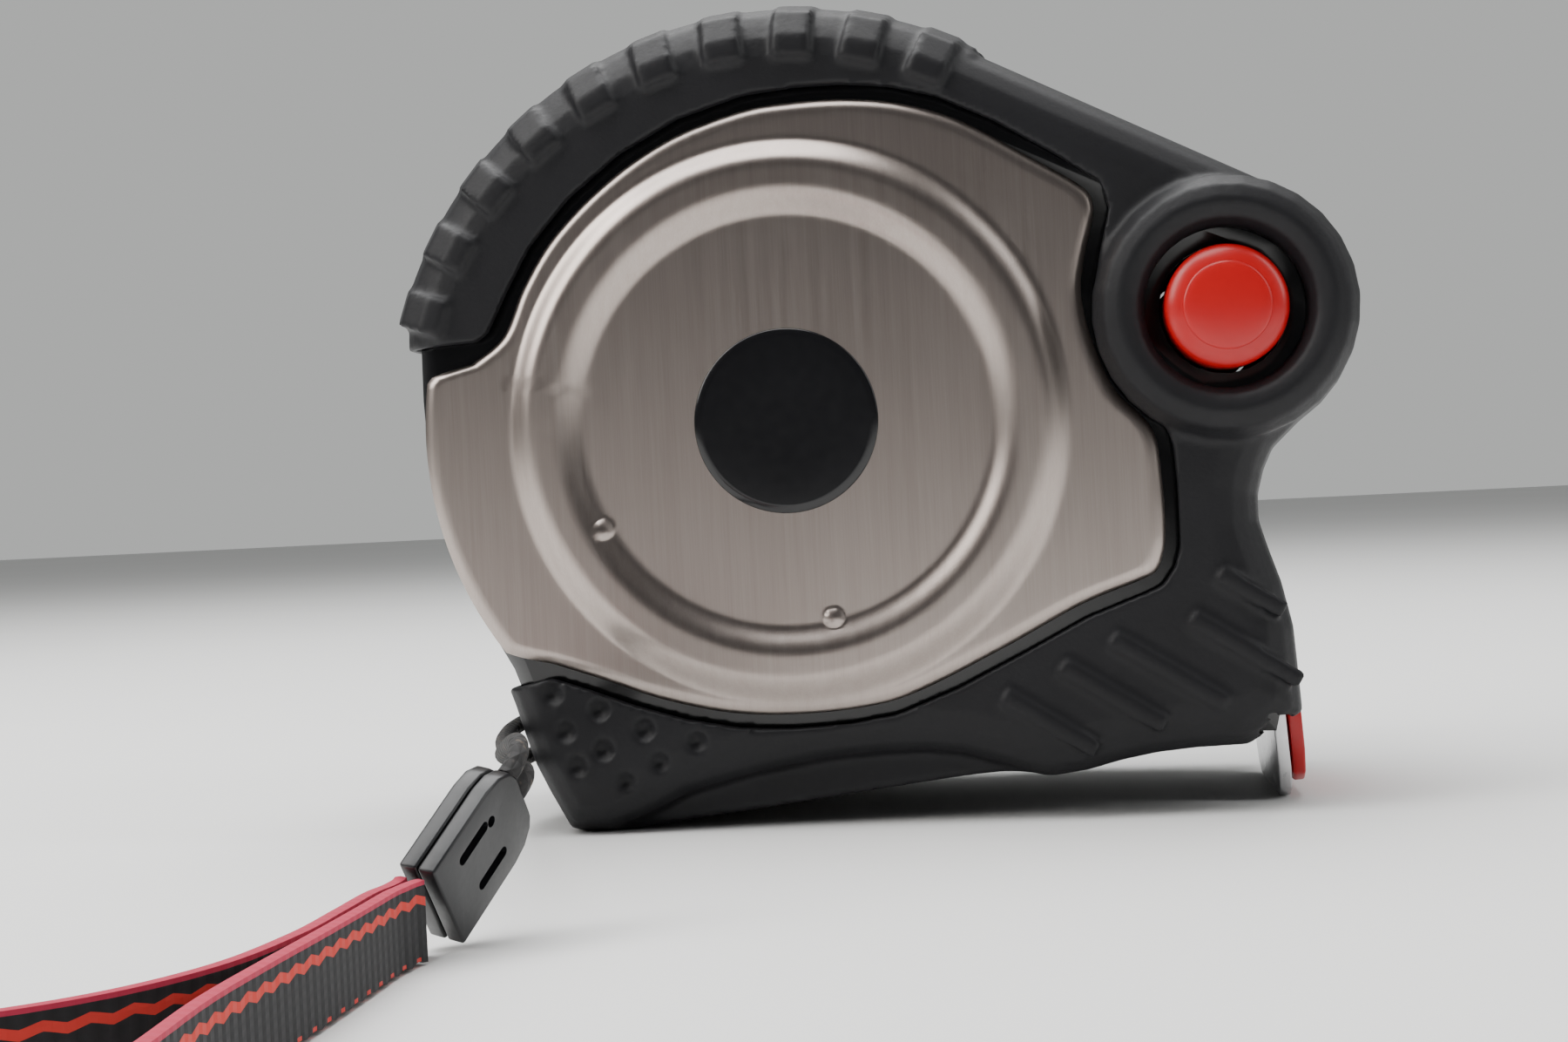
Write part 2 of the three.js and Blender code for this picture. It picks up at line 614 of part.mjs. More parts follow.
// ---------------------------------------------------------------- belt clip
function beltClip() {
  const side = [
    [20.5, -6], [21.5, -6], [21.5, 16.4], [22.1, 18], [23.7, 18.9], [25.3, 18], [26, 16.4], [26, -22], [27.8, -27],
    [28.9, -26.7], [27, -21.6], [27, 16.8], [26, 19], [23.7, 20.1], [21.4, 19], [20.5, 16.8],
  ].map(([y, z]) => point(y, z));
  const strap = new THREE.ExtrudeGeometry(new THREE.Shape(side), { depth: 14, bevelEnabled: false });
  strap.rotateX(Math.PI / 2).rotateZ(Math.PI / 2).translate(-7, 0, 0);
  return shape(strap, [], [barY(1.7, 0, 0, 15, 23, 14), barY(3.6, 0, 0, 24, 30, 18)]);
}

// ---------------------------------------------------------------- lanyard
// A tube or strap of one section along a route.
function along(route, section, steps) {
  const extrudePath = new THREE.CatmullRomCurve3(route.map((p) => new THREE.Vector3(...p)));
  return new THREE.ExtrudeGeometry(section, { steps, extrudePath, bevelEnabled: false });
}

function webbingSection() {
  const { width, thickness } = WEBBING;
  const [w, t] = [width / 2, thickness / 2];
  const corners = [[w, t * 0.4], [w * 0.9, t], [-w * 0.9, t], [-w, t * 0.4]];
  const outline = [...corners, ...corners.map(([x, y]) => [-x, -y])];
  return new THREE.Shape(outline.map(([x, y]) => point(x, y)));
}

// The two strands of the cord loop, from the pin in the case to the clasp.
function cordStrands(pin) {
  const reach = LANYARD.pinRadius + FIT_GAP + LANYARD.cordRadius;
  const wrap = [-66, -33, 0, 45, 90].map((deg) => {
    const a = THREE.MathUtils.degToRad(deg);
    return [pin.x + reach * Math.cos(a), 0, pin.z + reach * Math.sin(a)];
  });
  const upper = [...wrap, [-26.3, -0.3, 10.3], [-28, -2.2, 9.9], [-28.7, -6, 9.6], [-28.8, -12, 9.3],
    [-28, -18, 9.2], [-26.8, -24, 9.2], [-24.6, -32, 9.4], [-22.2, -42, 10], [-20, -52, 11.2],
    [-17.6, -59.5, 12.6], [-16.1, -64, 13.2], [-15.4, -66.8, 12.8], [-15.5, -68.1, 12], [-15.9, -68.9, 11.3]];
  const lower = [[pin.x, 0, pin.z - reach], [-26, -0.3, 6.8], [-27.8, -2.2, 6.3], [-28.6, -6, 6.1], [-28.6, -12, 6],
    [-27.6, -18, 6.2], [-26, -24, 6.5], [-24.2, -32, 7], [-22.2, -41, 7.8], [-20.2, -50, 8.9],
    [-17.8, -58, 10.4], [-16.2, -62.5, 11.1], [-15.4, -65.2, 11], [-15.4, -66.7, 10.4], [-15.8, -67.5, 9.7]];
  return { upper, lower };
}

// One half of the clasp: a flat shell that tapers towards the cord.
function claspHalf(side) {
  const { length, width, thickness, mouth } = CLASP;
  const w = width / 2;
  const outline = [[0, -w], [length * 0.7, -w], [length - 1, -w * 0.72], [length, -w * 0.45], [length, w * 0.45],
    [length - 1, w * 0.72], [length * 0.7, w], [0, w]];
  const depth = (thickness - FIT_GAP) / 2;
  const shell = new THREE.Shape(outline.map(([x, y]) => point(x, y)));
  const half = new THREE.ExtrudeGeometry(shell, { depth, bevelEnabled: false });
  half.translate(0, 0, side > 0 ? FIT_GAP / 2 : -FIT_GAP / 2 - depth);
  const forward = new THREE.Vector3(...CLASP.along).normalize();
  const face = new THREE.Vector3(...CLASP.across).cross(forward).normalize();
  const across = face.clone().cross(forward);
  return half.applyMatrix4(new THREE.Matrix4().makeBasis(forward, across, face)).translate(...mouth);
}

function lanyard(pin) {
  const { cordRadius } = LANYARD;
  const section = new THREE.Shape(arc(0, 0, cordRadius, 0, 315, 7));
  const { upper, lower } = cordStrands(pin);
  const group = new THREE.Group();
  group.add(
    piece('lanyard_cord_upper', along(upper, section, 42), 'webbing'),
    piece('lanyard_cord_lower', along(lower, section, 36), 'webbing'),
    piece('clasp_front_half', claspHalf(1), 'nylon'),
    piece('clasp_back_half', claspHalf(-1), 'nylon'),
    piece('wrist_strap', along(STRAP_ROUTE, webbingSection(), 64), 'webbing'),
  );
  return group;
}

function assembly() {
  const group = new THREE.Group();
  group.add(
    piece('left_case_half', caseHalf(-1), 'gloss'),
    piece('right_case_half', caseHalf(1), 'gloss'),
    piece('left_rubber_grip', rubberGrip(-1), 'rubber'),
    piece('right_rubber_grip', rubberGrip(1), 'rubber'),
    piece('left_face_plate', facePlate(-1), 'steel'),
    piece('right_face_plate', facePlate(1), 'steel'),
    piece('left_label_disc', labelDisc(), 'label'),
    piece('spool', spool(), 'nylon'),
    piece('spool_lid', spoolLid(), 'nylon'),
    piece('blade_coil', bladeCoil(), 'blade'),
    piece('main_spring', mainSpring(), 'spring'),
    piece('spring_arbor', springArbor(), 'spring'),
    piece('arbor_screw', arborScrew(), 'zinc'),
    piece('blade_strip', bladeStrip(), 'blade'),
    piece('left_hook_rivet', rivet(-RIVET_Y), 'zinc'),
    piece('right_hook_rivet', rivet(RIVET_Y), 'zinc'),
    piece('end_hook', endHook(), 'zinc'),
    piece('hook_pad', hookPad(), 'red'),
    piece('mouth_guide', mouthGuide(), 'nylon'),
    piece('mouth_bumper', mouthBumper(), 'rubber'),
    piece('left_lock_cap', lockCap(-1), 'red'),
    piece('right_lock_cap', lockCap(1), 'red'),
    piece('lock_shaft', lockShaft(), 'nylon'),
    piece('lock_bar', lockBar(), 'nylon'),
    piece('brake_pad', brakePad(), 'rubber'),
    piece('bar_spring', barSpring(), 'spring'),
    piece('spring_seat', springSeat(), 'nylon'),
    piece('belt_clip', beltClip(), 'zinc'),
    piece('lanyard_pin', barY(LANYARD.pinRadius, LANYARD.pinX, LANYARD.pinZ, -4.6, 4.6, 12), 'zinc'),
    ...SCREWS.map((screw) => piece(screw.name, caseScrew(screw), 'zinc')),
  );
  return group;
}

const tape = assembly();
tape.rotation.y = -TILT;
tape.updateMatrixWorld(true);
const box = new THREE.Box3().setFromObject(tape, true);
const middle = box.getCenter(new THREE.Vector3());
const pin = new THREE.Vector3(LANYARD.pinX, 0, LANYARD.pinZ).applyAxisAngle(new THREE.Vector3(0, 1, 0), -TILT);
pin.z -= box.min.z;

const cords = lanyard(pin);
cords.position.set(-middle.x, -middle.y, 0);
tape.position.set(-middle.x, -middle.y, -box.min.z);

const group = new THREE.Group();
group.add(tape, cords);

export default group;
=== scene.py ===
"""The looks of the pocket tape measure: rubber grip, stamped steel plates, lock button and lanyard.

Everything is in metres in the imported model's frame. The case outline is drawn in the case's own
millimetres: the reel axis is its origin, and the case is tilted nose-up by a few degrees.
"""
import json
import math

import bpy
from mathutils import Matrix, Vector


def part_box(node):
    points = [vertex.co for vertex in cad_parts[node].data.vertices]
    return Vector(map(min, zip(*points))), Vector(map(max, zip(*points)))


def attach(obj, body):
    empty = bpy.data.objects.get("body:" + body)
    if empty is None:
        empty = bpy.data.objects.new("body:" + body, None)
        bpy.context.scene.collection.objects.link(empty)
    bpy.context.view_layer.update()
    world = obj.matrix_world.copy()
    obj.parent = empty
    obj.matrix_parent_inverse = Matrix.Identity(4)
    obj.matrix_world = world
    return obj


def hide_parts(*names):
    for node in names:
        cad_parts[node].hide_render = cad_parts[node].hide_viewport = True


MM = 0.001
MERGE_GAP = 0.001 * MM
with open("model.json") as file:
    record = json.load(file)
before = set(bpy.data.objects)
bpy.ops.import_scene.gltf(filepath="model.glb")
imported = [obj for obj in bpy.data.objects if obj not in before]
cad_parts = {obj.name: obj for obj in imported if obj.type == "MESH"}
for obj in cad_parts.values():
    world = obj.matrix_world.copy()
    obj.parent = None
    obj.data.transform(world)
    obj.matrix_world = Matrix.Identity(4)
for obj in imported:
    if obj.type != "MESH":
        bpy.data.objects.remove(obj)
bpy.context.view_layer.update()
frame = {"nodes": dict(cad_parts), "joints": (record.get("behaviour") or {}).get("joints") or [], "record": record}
nodes = frame["nodes"]

# ------------------------------------------------------------------ places
disc_low, disc_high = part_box("left_label_disc")
REEL = (disc_low + disc_high) / 2
LABEL_FACE_Y = 20.8
SEAM_Y = disc_low.y + LABEL_FACE_Y * MM
SLIDE = Vector(next(j["axis"] for j in frame["joints"] if j["name"] == "blade_slide")).normalized()
UP = Vector((-SLIDE.z, 0, SLIDE.x))
BOSS = (40.1, 5.7)
SIDES = {"left": -1, "right": 1}


def place(x, y, z):
    """A point given in the case's millimetres."""
    return Vector((REEL.x, SEAM_Y + y * MM, REEL.z)) + SLIDE * (x * MM) + UP * (z * MM)


def on_floor(x, y, z):
    """A point given in millimetres from the reel axis, the seam and the floor."""
    return Vector((REEL.x + x * MM, SEAM_Y + y * MM, z * MM))


# ------------------------------------------------------------------ camera, floor and light
CAMERA_PLACE = (23.3, -231.25, 29.9)
CAMERA_RIGHT = (0.9925, 0.1123, -0.0489)
CAMERA_UP = (0.0476, 0.0139, 0.9988)
CAMERA_BACK = (0.1128, -0.9936, 0.0085)
LENS_MM = 35
SENSOR_MM = 23.5
FLOOR_SIZE = 6
FLOOR_GAP = 0.00005


def add_camera():
    data = bpy.data.cameras.new("camera")
    data.lens = LENS_MM
    data.sensor_width = SENSOR_MM
    data.clip_start = 0.01
    camera = bpy.data.objects.new("camera", data)
    bpy.context.collection.objects.link(camera)
    turn = Matrix((CAMERA_RIGHT, CAMERA_UP, CAMERA_BACK)).transposed().to_4x4()
    camera.matrix_world = Matrix.Translation(on_floor(*CAMERA_PLACE)) @ turn
    bpy.context.scene.camera = camera


def add_floor():
    bpy.ops.mesh.primitive_plane_add(size=FLOOR_SIZE, location=(0, 0, -FLOOR_GAP))
    floor = bpy.context.object
    floor.name = "floor"
    finish = new_material("pale_floor", (0.84, 0.84, 0.83), 0.75)
    add_grain(finish, scale=60, bump=0.01, depth=0.0001, wear=0.03, shade=0.01)
    floor.data.materials.append(finish)


def add_softbox(name, place_at, aim, size, power, tint=(1, 1, 1)):
    data = bpy.data.lights.new(name, "AREA")
    data.shape = "RECTANGLE"
    data.size, data.size_y = size
    data.energy = power
    data.color = tint
    light = bpy.data.objects.new(name, data)
    bpy.context.collection.objects.link(light)
    light.location = place_at
    light.rotation_euler = (Vector(aim) - Vector(place_at)).to_track_quat("-Z", "Y").to_euler()


def add_lights():
    add_softbox("overhead", (-0.1, 0.05, 0.6), (0, 0, 0.02), (0.8, 0.6), 8.5)
    add_softbox("left_window", (-0.6, -0.3, 0.45), (0, 0, 0.03), (0.35, 0.5), 3.6, (1, 0.98, 0.95))
    add_softbox("right_strip", (0.5, -0.12, 0.35), (0, 0, 0.04), (0.12, 0.5), 0.9)


def add_room():
    """A room that is pale behind the tape and dark on the near side."""
    world = bpy.data.worlds.new("studio")
    world.use_nodes = True
    tree = world.node_tree
    coordinates = tree.nodes.new("ShaderNodeTexCoord")
    mapping = tree.nodes.new("ShaderNodeMapping")
    mapping.inputs["Location"].default_value = (0.46, 0, 0)
    mapping.inputs["Rotation"].default_value = (0, 0, math.radians(-62))
    gradient = tree.nodes.new("ShaderNodeTexGradient")
    shades = tree.nodes.new("ShaderNodeValToRGB")
    dark, pale = shades.color_ramp.elements
    dark.position, dark.color = 0.12, (0.10, 0.10, 0.105, 1)
    pale.position, pale.color = 0.85, (0.66, 0.67, 0.66, 1)
    tree.links.new(coordinates.outputs["Generated"], mapping.inputs["Vector"])
    tree.links.new(mapping.outputs["Vector"], gradient.inputs["Vector"])
    tree.links.new(gradient.outputs["Color"], shades.inputs["Fac"])
    tree.links.new(shades.outputs["Color"], tree.nodes["Background"].inputs["Color"])
    tree.nodes["Background"].inputs["Strength"].default_value = 0.75
    bpy.context.scene.world = world


# ------------------------------------------------------------------ materials
# Scales of noise are in waves per metre, and depths of bump are in metres.
YELLOW = (0.83, 0.56, 0.04)
INK = (0.02, 0.02, 0.02)
MARKS_PER_METRE = 1000.0
MARK_SHARE = 0.16
MARKED_BEYOND = 9.5 * MM
PATCH_SHARE = 0.06


def new_material(name, color, roughness, metallic=0.0):
    material = bpy.data.materials.new(name)
    material.use_nodes = True
    shader = shader_of(material)
    shader.inputs["Base Color"].default_value = (*color, 1)
    shader.inputs["Roughness"].default_value = roughness
    shader.inputs["Metallic"].default_value = metallic
    return material


def add_node(material, kind, **settings):
    node = material.node_tree.nodes.new(kind)
    for key, value in settings.items():
        setattr(node, key, value)
    return node


def link(material, start, end):
    material.node_tree.links.new(start, end)


def shader_of(material):
    return material.node_tree.nodes["Principled BSDF"]


def object_coordinates(material, scale=(1, 1, 1)):
    coordinates = add_node(material, "ShaderNodeTexCoord")
    mapping = add_node(material, "ShaderNodeMapping")
    mapping.inputs["Scale"].default_value = scale
    link(material, coordinates.outputs["Object"], mapping.inputs["Vector"])
    return mapping.outputs["Vector"]


def noise(material, vector, scale, detail=4.0):
    texture = add_node(material, "ShaderNodeTexNoise")
    texture.inputs["Scale"].default_value = scale
    texture.inputs["Detail"].default_value = detail
    link(material, vector, texture.inputs["Vector"])
    return texture.outputs["Fac"]


def ramp(material, value, stops):
    node = add_node(material, "ShaderNodeValToRGB")
    while len(node.color_ramp.elements) < len(stops):
        node.color_ramp.elements.new(0.5)
    for element, (position, color) in zip(node.color_ramp.elements, stops):
        element.position = position
        element.color = (*color, 1)
    link(material, value, node.inputs["Fac"])
    return node.outputs["Color"]


def span(material, value, low, high):
    """Maps 0 to 1 onto a range."""
    node = add_node(material, "ShaderNodeMapRange")
    node.inputs["To Min"].default_value = low
    node.inputs["To Max"].default_value = high
    link(material, value, node.inputs["Value"])
    return node.outputs["Result"]


def math_node(material, operation, first, second=0.0):
    node = add_node(material, "ShaderNodeMath", operation=operation)
    for socket, value in zip(node.inputs, (first, second)):
        if isinstance(value, (int, float)):
            socket.default_value = value
        else:
            link(material, value, socket)
    return node.outputs["Value"]


def connect_bump(material, height, strength, depth):
    bump = add_node(material, "ShaderNodeBump")
    bump.inputs["Strength"].default_value = strength
    bump.inputs["Distance"].default_value = depth
    link(material, height, bump.inputs["Height"])
    shader = shader_of(material)
    link(material, bump.outputs["Normal"], shader.inputs["Normal"])


def add_grain(material, scale, bump, depth, wear=0.08, shade=0.12):
    """Fine grain in the surface and in its roughness, with broad patches of shade."""
    shader = shader_of(material)
    vector = object_coordinates(material)
    base = shader.inputs["Base Color"].default_value[:3]
    patches = noise(material, vector, scale * PATCH_SHARE)
    darker = tuple(c * (1 - shade) for c in base)
    lighter = tuple(c * (1 + shade) for c in base)
    shades = ramp(material, patches, [(0.35, darker), (0.65, lighter)])
    link(material, shades, shader.inputs["Base Color"])
    fine = noise(material, vector, scale)
    rough = shader.inputs["Roughness"].default_value
    link(material, span(material, fine, rough - wear, rough + wear), shader.inputs["Roughness"])
    connect_bump(material, fine, bump, depth)
    return material


def rubber_finish():
    material = new_material("moulded_rubber", (0.0075, 0.0075, 0.009), 0.52)
    add_grain(material, scale=2600, bump=0.35, depth=0.00006)
    shader_of(material).inputs["Specular IOR Level"].default_value = 0.3
    return material


def gloss_finish():
    material = new_material("gloss_black_case", (0.003, 0.003, 0.0035), 0.16)
    return add_grain(material, scale=700, bump=0.06, depth=0.00004, wear=0.06)


def brushed_steel():
    """Stainless steel brushed straight up and down: fine scratches over broader streaks."""
    material = new_material("brushed_steel", (0.47, 0.425, 0.395), 0.34, 1.0)
    shader = shader_of(material)
    scratches = noise(material, object_coordinates(material, (9000, 9000, 160)), 1.0, 3.0)
    streaks = noise(material, object_coordinates(material, (1800, 1800, 30)), 1.0, 2.0)
    cloudy = noise(material, object_coordinates(material), 45.0, 3.0)
    mixed = math_node(material, "MULTIPLY", math_node(material, "ADD", scratches, streaks), 0.5)
    tones = [(0.2, (0.36, 0.305, 0.275)), (0.5, (0.40, 0.345, 0.315)), (0.8, (0.44, 0.385, 0.355))]
    link(material, ramp(material, mixed, tones), shader.inputs["Base Color"])
    worn = math_node(material, "ADD", math_node(material, "MULTIPLY", cloudy, 0.2), mixed)
    link(material, span(material, worn, 0.24, 0.34), shader.inputs["Roughness"])
    connect_bump(material, mixed, 0.04, 0.00001)
    return material


def label_finish():
    material = new_material("gloss_label", (0.006, 0.006, 0.007), 0.16)
    return add_grain(material, scale=900, bump=0.05, depth=0.00003, wear=0.05)


def red_plastic():
    material = new_material("red_plastic", (0.50, 0.006, 0.008), 0.3)
    return add_grain(material, scale=1500, bump=0.06, depth=0.00003, wear=0.04, shade=0.03)


def nylon_finish():
    material = new_material("satin_nylon", (0.007, 0.0075, 0.009), 0.36)
    return add_grain(material, scale=1800, bump=0.2, depth=0.00005)


def blade_paint():
    """Yellow paint with plain millimetre marks along both edges of the blade."""
    material = new_material("yellow_blade", YELLOW, 0.34)
    shader = shader_of(material)
    coordinates = add_node(material, "ShaderNodeTexCoord")
    parts = add_node(material, "ShaderNodeSeparateXYZ")
    link(material, coordinates.outputs["Object"], parts.inputs["Vector"])
    millimetres = math_node(material, "MULTIPLY", parts.outputs["X"], MARKS_PER_METRE)
    tick = math_node(material, "LESS_THAN", math_node(material, "FRACT", millimetres), MARK_SHARE)
    across = math_node(material, "ABSOLUTE", math_node(material, "ADD", parts.outputs["Y"], -SEAM_Y))
    near_edge = math_node(material, "GREATER_THAN", across, MARKED_BEYOND)
    marks = math_node(material, "MULTIPLY", tick, near_edge)
    paint = ramp(material, marks, [(0.4, YELLOW), (0.6, INK)])
    link(material, paint, shader.inputs["Base Color"])
    fine = noise(material, object_coordinates(material), 1500.0)
    link(material, span(material, fine, 0.28, 0.42), shader.inputs["Roughness"])
    connect_bump(material, fine, 0.08, 0.00003)
    return material


def plated_steel(name="plated_steel", color=(0.62, 0.62, 0.63)):
    material = new_material(name, color, 0.3, 1.0)
    return add_grain(material, scale=900, bump=0.12, depth=0.00003, wear=0.1)


def run_coordinates(material):
    """The place along a swept piece, in metres, and the place round its section, from 0 to 1."""
    uv = add_node(material, "ShaderNodeUVMap", uv_map="run")
    parts = add_node(material, "ShaderNodeSeparateXYZ")
    link(material, uv.outputs["UV"], parts.inputs["Vector"])
    return parts.outputs["X"], parts.outputs["Y"]


def wave(material, value, per_unit):
    """A triangle wave from 0 to a half."""
    return math_node(material, "PINGPONG", math_node(material, "MULTIPLY", value, per_unit), 0.5)


def painted_over(material, under, color, share):
    """One colour over another where share is 1."""
    mix = add_node(material, "ShaderNodeMixRGB")
    link(material, share, mix.inputs["Fac"])
    link(material, under, mix.inputs["Color1"])
    mix.inputs["Color2"].default_value = (*color, 1)
    return mix.outputs["Color"]


def braid_finish():
    """A braided cord: two sets of strands that cross round the tube, with brown flecks."""
    material = new_material("black_braid", (0.015, 0.015, 0.017), 0.75)
    shader = shader_of(material)
    along, around = run_coordinates(material)
    pitch = math_node(material, "MULTIPLY", along, 700.0)
    turns = math_node(material, "MULTIPLY", around, 4.0)
    strands = [math_node(material, "PINGPONG", math_node(material, way, pitch, turns), 0.5)
               for way in ("ADD", "SUBTRACT")]
    height = math_node(material, "MAXIMUM", *strands)
    flecks = noise(material, object_coordinates(material), 1400.0, 1.0)
    tones = [(0.0, (0.006, 0.006, 0.007)), (0.62, (0.014, 0.013, 0.013)), (0.7, (0.08, 0.06, 0.045))]
    link(material, ramp(material, flecks, tones), shader.inputs["Base Color"])
    connect_bump(material, height, 0.9, 0.0003)
    shader.inputs["Sheen Weight"].default_value = 0.03
    return material


def webbing_finish():
    """Black webbing, with painted shade darkening the grooves between its picks: a zigzag red line near its upper
    edge, a crimson selvedge and red flecks below.
    """
    material = new_material("striped_webbing", (0.016, 0.016, 0.018), 0.82)
    shader = shader_of(material)
    along, across = run_coordinates(material)
    zigzag = wave(material, along, 400.0)
    picks = wave(material, along, 850.0)
    rows = wave(material, across, 7.0)
    line = math_node(material, "ADD", across, math_node(material, "MULTIPLY", zigzag, -0.11))
    off_line = math_node(material, "ABSOLUTE", math_node(material, "ADD", line, -0.74))
    stripe = math_node(material, "LESS_THAN", off_line, 0.055)
    selvedge = math_node(material, "GREATER_THAN", across, 0.945)
    low_edge = math_node(material, "LESS_THAN", across, 0.05)
    flecks = math_node(material, "MULTIPLY", low_edge, math_node(material, "GREATER_THAN", zigzag, 0.36))
    red = math_node(material, "MAXIMUM", stripe, flecks)
    # Painted shade: the black cloth is darker in the low grooves between picks, following the weave's bump.
    cloth_with_groove_shade = ramp(material, picks, [(0.0, (0.004, 0.004, 0.005)), (1.0, (0.016, 0.016, 0.018))])
    striped = painted_over(material, cloth_with_groove_shade, (0.58, 0.03, 0.02), red)
    edged = painted_over(material, striped, (0.45, 0.02, 0.06), selvedge)
    link(material, edged, shader.inputs["Base Color"])
    weave = math_node(material, "MULTIPLY", picks, math_node(material, "ADD", rows, 0.4))
    connect_bump(material, weave, 0.8, 0.0002)
    shader.inputs["Sheen Weight"].default_value = 0.05
    return material


# ------------------------------------------------------------------ mesh helpers
def mesh_piece(name, vertices, faces, material, body):
    mesh = bpy.data.meshes.new(name)
    mesh.from_pydata([tuple(v) for v in vertices], [], faces)
    piece = bpy.data.objects.new(name, mesh)
    bpy.context.collection.objects.link(piece)
    return dress(piece, material, body)


def dress(piece, material, body):
    piece.data.materials.clear()
    piece.data.materials.append(material)
    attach(piece, body)
    return piece


def only(piece):
    bpy.ops.object.select_all(action="DESELECT")
    piece.select_set(True)
    bpy.context.view_layer.objects.active = piece


def apply_modifier(piece, kind, **settings):
    only(piece)
    modifier = piece.modifiers.new(kind.lower(), kind)
    for key, value in settings.items():
        setattr(modifier, key, value)
    bpy.ops.object.modifier_apply(modifier=modifier.name)


def smooth(piece, degrees=40):
    only(piece)
    bpy.ops.object.shade_smooth_by_angle(angle=math.radians(degrees))


def tidy_normals(piece):
    only(piece)
    bpy.ops.object.mode_set(mode="EDIT")
    bpy.ops.mesh.select_all(action="SELECT")
    bpy.ops.mesh.remove_doubles(threshold=MERGE_GAP)
    bpy.ops.mesh.normals_make_consistent(inside=False)
    bpy.ops.object.mode_set(mode="OBJECT")


def copy_of(node, name):
    """A merged copy of a CAD node's mesh, to be rounded and detailed."""
    piece = bpy.data.objects.new(name, nodes[node].data.copy())
    bpy.context.collection.objects.link(piece)
    only(piece)
    bpy.ops.object.mode_set(mode="EDIT")
    bpy.ops.mesh.select_all(action="SELECT")
    bpy.ops.mesh.remove_doubles(threshold=2 * MERGE_GAP)
    bpy.ops.mesh.tris_convert_to_quads()
    bpy.ops.object.mode_set(mode="OBJECT")
    return piece


def rounded_copy(node, material, body, width=0.3, segments=2):
    """Stands for a CAD node, with its sharp edges rounded over."""
    piece = copy_of(node, node + "_finished")
    apply_modifier(piece, "BEVEL", width=width * MM, segments=segments, limit_method="ANGLE",
                   angle_limit=math.radians(32), use_clamp_overlap=True)
    smooth(piece)
    dress(piece, material, body)
    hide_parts(node)


def draw_line(name, points):
    """Draws a chain of edges from point to point, starting from a plane merged to one point.

    It is left selected in edit mode.
    """
    bpy.ops.object.select_all(action="DESELECT")
    bpy.ops.mesh.primitive_plane_add(size=MM, location=points[0])
    piece = bpy.context.object
    piece.name = name
    bpy.ops.object.transform_apply(location=True, rotation=True, scale=True)
    bpy.ops.object.mode_set(mode="EDIT")
    bpy.ops.mesh.select_mode(type="VERT")
    bpy.ops.mesh.select_all(action="SELECT")
    bpy.ops.mesh.merge(type="CENTER")
    for start, end in zip(points, points[1:]):
        bpy.ops.mesh.extrude_vertices_move(TRANSFORM_OT_translate={"value": end - start})
    bpy.ops.mesh.select_all(action="SELECT")
    return piece


def filled_outline(name, outline):
    """A flat face inside a closed outline, left selected in edit mode."""
    piece = draw_line(name, outline + outline[:1])
    bpy.ops.mesh.remove_doubles(threshold=MERGE_GAP)
    bpy.ops.mesh.edge_face_add()
    return piece


def extruded_piece(name, outline, depth):
    piece = filled_outline(name, outline)
    bpy.ops.mesh.extrude_region_move(TRANSFORM_OT_translate={"value": depth})
    bpy.ops.object.mode_set(mode="OBJECT")
    tidy_normals(piece)
    return piece


def turned_piece(name, profile, centre, side, material, body, steps=72):
    """Spins a profile of radius and distance from the seam round an axis along Y."""
    piece = draw_line(name, [place(centre[0] + radius, side * y, centre[1]) for radius, y in profile])
    axis_point = place(centre[0], 0, centre[1])
    bpy.ops.mesh.spin(steps=steps, angle=2 * math.pi, center=axis_point, axis=(0, 1, 0))
    bpy.ops.object.mode_set(mode="OBJECT")
    tidy_normals(piece)
    smooth(piece, 50)
    return dress(piece, material, body)


# ------------------------------------------------------------------ curves
def catmull(points, steps):
    """A smooth run through a list of points, with steps between each two."""
    run = []
    for i in range(len(points) - 1):
        p0, p1 = points[max(i - 1, 0)], points[i]
        p2, p3 = points[i + 1], points[min(i + 2, len(points) - 1)]
        for k in range(steps):
            t = k / steps
            a = 2 * p1
            b = (p2 - p0) * t
            c = (2 * p0 - 5 * p1 + 4 * p2 - p3) * t * t
            d = (3 * p1 - p0 - 3 * p2 + p3) * t * t * t
            run.append((a + b + c + d) / 2)
    run.append(points[-1])
    return run


def flat_curve(pairs, steps=10):
    return [(p.x, p.y) for p in catmull([Vector((x, z, 0)) for x, z in pairs], steps)]


def arc(radius, start, end, steps):
    angles = [math.radians(start + (end - start) * i / steps) for i in range(steps + 1)]
    return [(radius * math.cos(a), radius * math.sin(a)) for a in angles]


